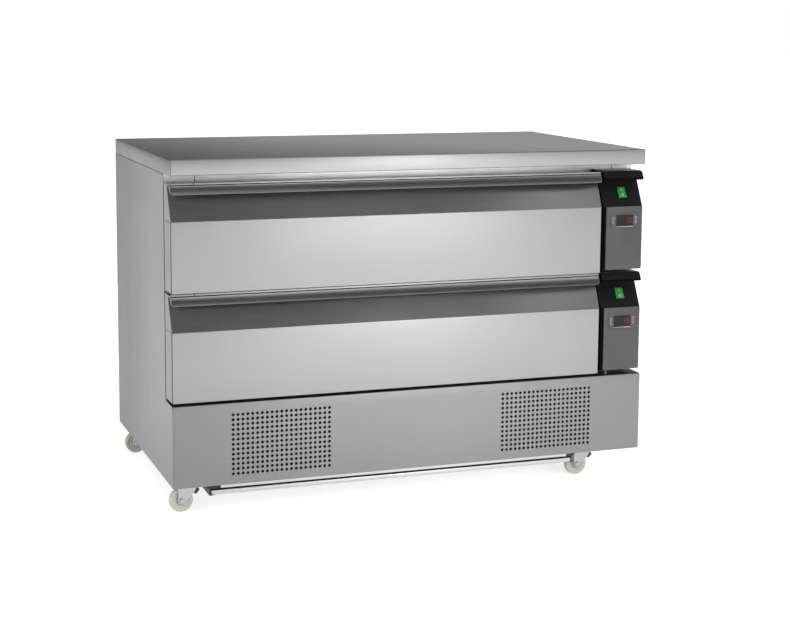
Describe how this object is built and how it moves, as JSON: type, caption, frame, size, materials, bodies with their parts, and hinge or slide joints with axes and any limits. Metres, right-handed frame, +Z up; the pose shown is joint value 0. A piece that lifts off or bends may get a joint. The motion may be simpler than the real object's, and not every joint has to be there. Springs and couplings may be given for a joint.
{
  "type": "refrigerated drawer counter",
  "caption": "Low stainless counter with two wide refrigerated drawers, a perforated plinth, a control column, a slung drip tray and braked castors.",
  "frame": {"origin": "on the floor under the middle of the counter's footprint", "axes": "+X to the right along the counter's length, +Y to the back, +Z up; the drawers open towards -Y"},
  "size_m": [1.23, 0.7, 0.85],
  "materials": {
    "stainless": "brushed stainless sheet",
    "handle_steel": "brushed stainless drawer front",
    "inner_steel": "smooth stainless lining",
    "foam": "rigid foam",
    "gasket": "soft grey seal",
    "housing_black": "fine-grained black moulding",
    "fascia_grey": "grey painted plate",
    "bezel_black": "satin black",
    "display": "smoked window",
    "key_grey": "soft-touch key",
    "rocker_green": "lit green rocker",
    "zinc": "bright zinc plate",
    "nylon": "off-white nylon",
    "pedal": "black pedal",
    "guide_black": "black guide rail",
    "fins": "finned aluminium",
    "fan_plastic": "black fan blades",
    "motor": "grey painted casing",
    "compressor": "black enamel",
    "copper": "copper tube"
  },
  "bodies": {
    "cabinet": {"worktop": "stainless", "side_panel_left": "stainless", "side_panel_right": "stainless", "back_panel": "stainless", "base_pan": "stainless", "plinth_front": "stainless", "front_frame": "stainless", "control_column": "stainless", "insulation": "foam", "cavity_liners": "inner_steel", "air_ducts": "inner_steel", "slide_outer_members": "zinc", "control_housings": "housing_black", "control_fascias": "fascia_grey", "thermostats": "bezel_black", "display_windows": "display", "switch_frames": "housing_black", "castor_plates": "zinc", "tray_guides": "guide_black", "coolers": "fins", "condensers": "fins", "fan_motors": "motor", "compressors": "compressor", "refrigerant_pipes": "copper"},
    "drawer_upper": {"drawer_front_upper": "handle_steel", "drawer_core_upper": "foam", "drawer_inner_panel_upper": "inner_steel", "gasket_upper": "gasket", "pan_frame_upper": "inner_steel"},
    "slide_upper": {"slide_middle_upper": "zinc"},
    "key_left_upper": {"key_left_upper": "key_grey"},
    "key_right_upper": {"key_right_upper": "key_grey"},
    "rocker_upper": {"rocker_upper": "rocker_green"},
    "cooler_fan_upper": {"cooler_fan_upper": "fan_plastic"},
    "drawer_lower": {"drawer_front_lower": "handle_steel", "drawer_core_lower": "foam", "drawer_inner_panel_lower": "inner_steel", "gasket_lower": "gasket", "pan_frame_lower": "inner_steel"},
    "slide_lower": {"slide_middle_lower": "zinc"},
    "key_left_lower": {"key_left_lower": "key_grey"},
    "key_right_lower": {"key_right_lower": "key_grey"},
    "rocker_lower": {"rocker_lower": "rocker_green"},
    "cooler_fan_lower": {"cooler_fan_lower": "fan_plastic"},
    "condenser_fan_left": {"condenser_fan_left": "fan_plastic"},
    "condenser_fan_right": {"condenser_fan_right": "fan_plastic"},
    "castor_fork_front_left": {"castor_fork_front_left": "zinc"},
    "castor_wheel_front_left": {"castor_wheel_front_left": "nylon"},
    "castor_pedal_front_left": {"castor_pedal_front_left": "pedal"},
    "castor_fork_front_right": {"castor_fork_front_right": "zinc"},
    "castor_wheel_front_right": {"castor_wheel_front_right": "nylon"},
    "castor_pedal_front_right": {"castor_pedal_front_right": "pedal"},
    "castor_fork_rear_left": {"castor_fork_rear_left": "zinc"},
    "castor_wheel_rear_left": {"castor_wheel_rear_left": "nylon"},
    "castor_pedal_rear_left": {"castor_pedal_rear_left": "pedal"},
    "castor_fork_rear_right": {"castor_fork_rear_right": "zinc"},
    "castor_wheel_rear_right": {"castor_wheel_rear_right": "nylon"},
    "castor_pedal_rear_right": {"castor_pedal_rear_right": "pedal"},
    "drip_tray": {"drip_tray": "stainless"}
  },
  "joints": [
    {"name": "drawer_upper_slide", "type": "slide", "parent": "cabinet", "child": "drawer_upper", "axis": [0, -1, 0], "range_m": [0, 0.48]},
    {"name": "slide_upper_follow", "type": "slide", "parent": "cabinet", "child": "slide_upper", "axis": [0, -1, 0], "range_m": [0, 0.24]},
    {"name": "key_left_upper_press", "type": "slide", "parent": "cabinet", "child": "key_left_upper", "axis": [0, 1, 0], "range_m": [0, 0.0006], "stiffness_N_per_m": 800},
    {"name": "key_right_upper_press", "type": "slide", "parent": "cabinet", "child": "key_right_upper", "axis": [0, 1, 0], "range_m": [0, 0.0006], "stiffness_N_per_m": 800},
    {"name": "rocker_upper_rock", "type": "hinge", "parent": "cabinet", "child": "rocker_upper", "pos_m": [0.56, -0.329, 0.73855], "axis": [1, 0, 0], "range_deg": [0, 12]},
    {"name": "cooler_fan_upper_spin", "type": "hinge", "parent": "cabinet", "child": "cooler_fan_upper", "pos_m": [0.4622, 0.04, 0.6211], "axis": [1, 0, 0], "continuous": true},
    {"name": "drawer_lower_slide", "type": "slide", "parent": "cabinet", "child": "drawer_lower", "axis": [0, -1, 0], "range_m": [0, 0.48]},
    {"name": "slide_lower_follow", "type": "slide", "parent": "cabinet", "child": "slide_lower", "axis": [0, -1, 0], "range_m": [0, 0.24]},
    {"name": "key_left_lower_press", "type": "slide", "parent": "cabinet", "child": "key_left_lower", "axis": [0, 1, 0], "range_m": [0, 0.0006], "stiffness_N_per_m": 800},
    {"name": "key_right_lower_press", "type": "slide", "parent": "cabinet", "child": "key_right_lower", "axis": [0, 1, 0], "range_m": [0, 0.0006], "stiffness_N_per_m": 800},
    {"name": "rocker_lower_rock", "type": "hinge", "parent": "cabinet", "child": "rocker_lower", "pos_m": [0.56, -0.329, 0.47755], "axis": [1, 0, 0], "range_deg": [0, 12]},
    {"name": "cooler_fan_lower_spin", "type": "hinge", "parent": "cabinet", "child": "cooler_fan_lower", "pos_m": [0.4622, 0.04, 0.3601], "axis": [1, 0, 0], "continuous": true},
    {"name": "condenser_fan_left_spin", "type": "hinge", "parent": "cabinet", "child": "condenser_fan_left", "pos_m": [-0.349, -0.27, 0.1492], "axis": [0, 1, 0], "continuous": true},
    {"name": "condenser_fan_right_spin", "type": "hinge", "parent": "cabinet", "child": "condenser_fan_right", "pos_m": [0.349, -0.27, 0.1492], "axis": [0, 1, 0], "continuous": true},
    {"name": "swivel_front_left", "type": "hinge", "parent": "cabinet", "child": "castor_fork_front_left", "pos_m": [-0.57, -0.298, 0.06], "axis": [0, 0, 1], "continuous": true},
    {"name": "wheel_spin_front_left", "type": "hinge", "parent": "castor_fork_front_left", "child": "castor_wheel_front_left", "pos_m": [-0.586, -0.298, 0.0285], "axis": [0, 1, 0], "continuous": true},
    {"name": "brake_front_left", "type": "hinge", "parent": "castor_fork_front_left", "child": "castor_pedal_front_left", "pos_m": [-0.5575, -0.298, 0.0485], "axis": [0, 1, 0], "range_deg": [0, 20]},
    {"name": "swivel_front_right", "type": "hinge", "parent": "cabinet", "child": "castor_fork_front_right", "pos_m": [0.475, -0.298, 0.06], "axis": [0, 0, 1], "continuous": true},
    {"name": "wheel_spin_front_right", "type": "hinge", "parent": "castor_fork_front_right", "child": "castor_wheel_front_right", "pos_m": [0.459, -0.298, 0.0285], "axis": [0, 1, 0], "continuous": true},
    {"name": "brake_front_right", "type": "hinge", "parent": "castor_fork_front_right", "child": "castor_pedal_front_right", "pos_m": [0.4875, -0.298, 0.0485], "axis": [0, 1, 0], "range_deg": [0, 20]},
    {"name": "swivel_rear_left", "type": "hinge", "parent": "cabinet", "child": "castor_fork_rear_left", "pos_m": [-0.57, 0.274, 0.06], "axis": [0, 0, 1], "continuous": true},
    {"name": "wheel_spin_rear_left", "type": "hinge", "parent": "castor_fork_rear_left", "child": "castor_wheel_rear_left", "pos_m": [-0.586, 0.274, 0.0285], "axis": [0, 1, 0], "continuous": true},
    {"name": "brake_rear_left", "type": "hinge", "parent": "castor_fork_rear_left", "child": "castor_pedal_rear_left", "pos_m": [-0.5575, 0.274, 0.0485], "axis": [0, 1, 0], "range_deg": [0, 20]},
    {"name": "swivel_rear_right", "type": "hinge", "parent": "cabinet", "child": "castor_fork_rear_right", "pos_m": [0.475, 0.274, 0.06], "axis": [0, 0, 1], "continuous": true},
    {"name": "wheel_spin_rear_right", "type": "hinge", "parent": "castor_fork_rear_right", "child": "castor_wheel_rear_right", "pos_m": [0.459, 0.274, 0.0285], "axis": [0, 1, 0], "continuous": true},
    {"name": "brake_rear_right", "type": "hinge", "parent": "castor_fork_rear_right", "child": "castor_pedal_rear_right", "pos_m": [0.4875, 0.274, 0.0485], "axis": [0, 1, 0], "range_deg": [0, 20]},
    {"name": "drip_tray_slide", "type": "slide", "parent": "cabinet", "child": "drip_tray", "axis": [0, -1, 0], "range_m": [0, 0.42]}
  ],
  "couplings": [
    {"joint": "slide_upper_follow", "follows": "drawer_upper_slide", "ratio": 0.5},
    {"joint": "slide_lower_follow", "follows": "drawer_lower_slide", "ratio": 0.5}
  ]
}
